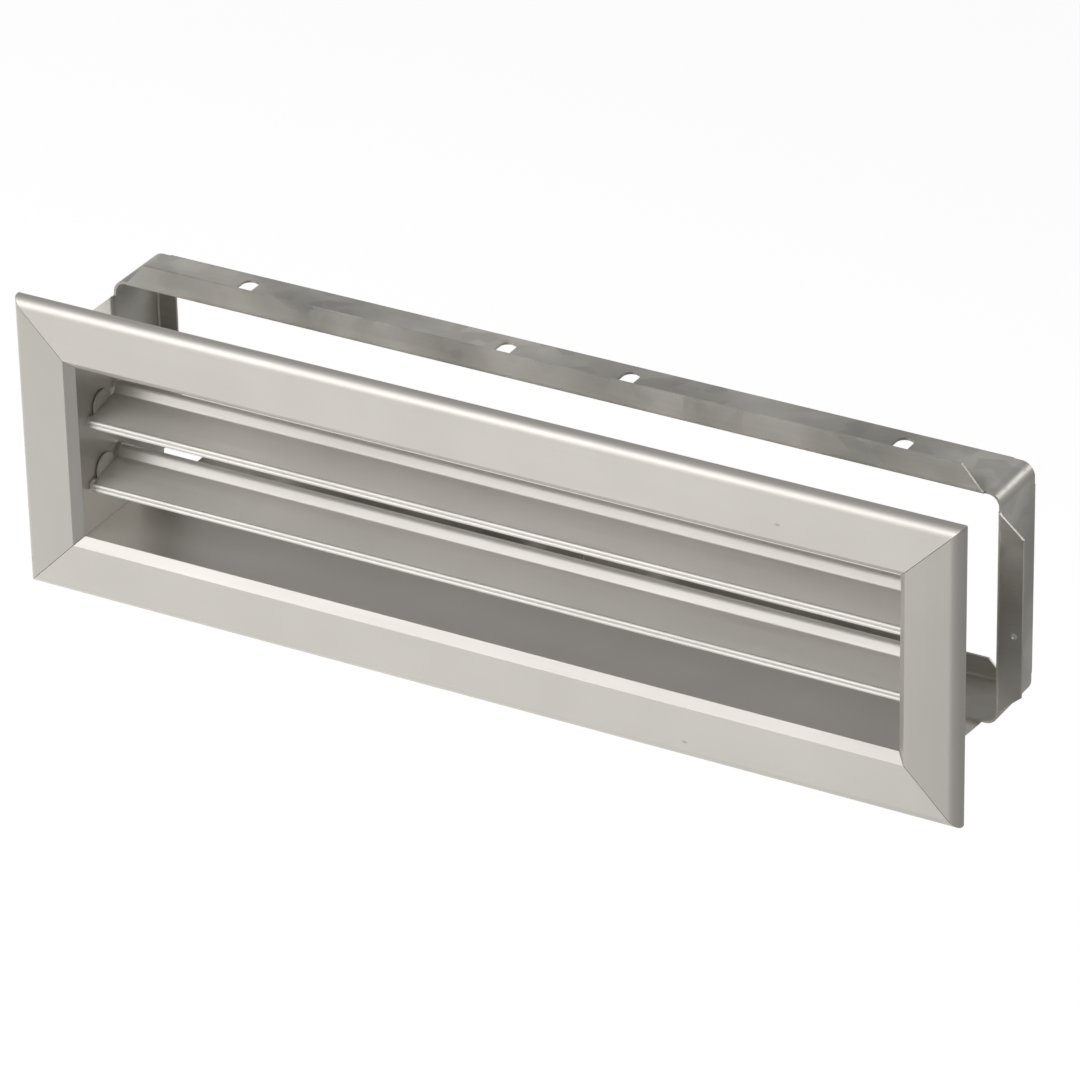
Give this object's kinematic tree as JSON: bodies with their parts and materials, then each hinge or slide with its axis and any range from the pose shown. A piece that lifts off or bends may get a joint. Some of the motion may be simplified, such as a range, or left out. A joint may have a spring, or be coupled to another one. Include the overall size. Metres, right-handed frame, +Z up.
{
  "type": "air conditioning grille",
  "caption": "Rectangular air supply grille with a mitred bevelled face frame and pivoting horizontal deflection blades, drawn out of its folded sheet subframe.",
  "frame": {"origin": "centre of the wall opening, in the plane of the wall's surface, where the rear face of the subframe's front flange lies", "axes": "+X to the right along the grille as seen from the room, +Y into the wall along the air duct, +Z up"},
  "size_m": [0.325, 0.0678, 0.1],
  "materials": {
    "frame_aluminium": "satin natural anodised",
    "blade_aluminium": "satin natural anodised",
    "subframe_sheet": "skin-passed galvanised",
    "key_aluminium": "plain stamped",
    "foam_seal": "closed-cell foam",
    "spring_steel": "hardened strip",
    "nylon": "moulded",
    "rivet_aluminium": "plain"
  },
  "bodies": {
    "subframe": {"subframe_strip": "subframe_sheet", "splice_plate": "subframe_sheet", "splice_rivets": "rivet_aluminium"},
    "grille": {"top_rail": "frame_aluminium", "bottom_rail": "frame_aluminium", "left_stile": "frame_aluminium", "right_stile": "frame_aluminium", "corner_key_top_left": "key_aluminium", "corner_key_top_right": "key_aluminium", "corner_key_bottom_left": "key_aluminium", "corner_key_bottom_right": "key_aluminium", "face_seal_top": "foam_seal", "face_seal_bottom": "foam_seal", "face_seal_left": "foam_seal", "face_seal_right": "foam_seal", "spring_clip_top_left": "spring_steel", "spring_clip_top_right": "spring_steel", "spring_clip_bottom_left": "spring_steel", "spring_clip_bottom_right": "spring_steel", "pivot_bush_upper_left": "nylon", "pivot_bush_upper_right": "nylon", "pivot_bush_lower_left": "nylon", "pivot_bush_lower_right": "nylon"},
    "blade_upper_body": {"blade_upper": "blade_aluminium", "pivot_cap_upper_left": "nylon", "pivot_cap_upper_right": "nylon"},
    "blade_lower_body": {"blade_lower": "blade_aluminium", "pivot_cap_lower_left": "nylon", "pivot_cap_lower_right": "nylon"}
  },
  "joints": [
    {"name": "grille_draw", "type": "slide", "parent": "subframe", "child": "grille", "axis": [0, 1, 0], "range_m": [0, 0.0375]},
    {"name": "blade_upper_tilt", "type": "hinge", "parent": "grille", "child": "blade_upper_body", "pos_m": [0, -0.0276, 0.0111], "axis": [1, 0, 0], "range_deg": [-50, 60]},
    {"name": "blade_lower_tilt", "type": "hinge", "parent": "grille", "child": "blade_lower_body", "pos_m": [0, -0.0276, -0.0111], "axis": [1, 0, 0], "range_deg": [-50, 60]}
  ]
}
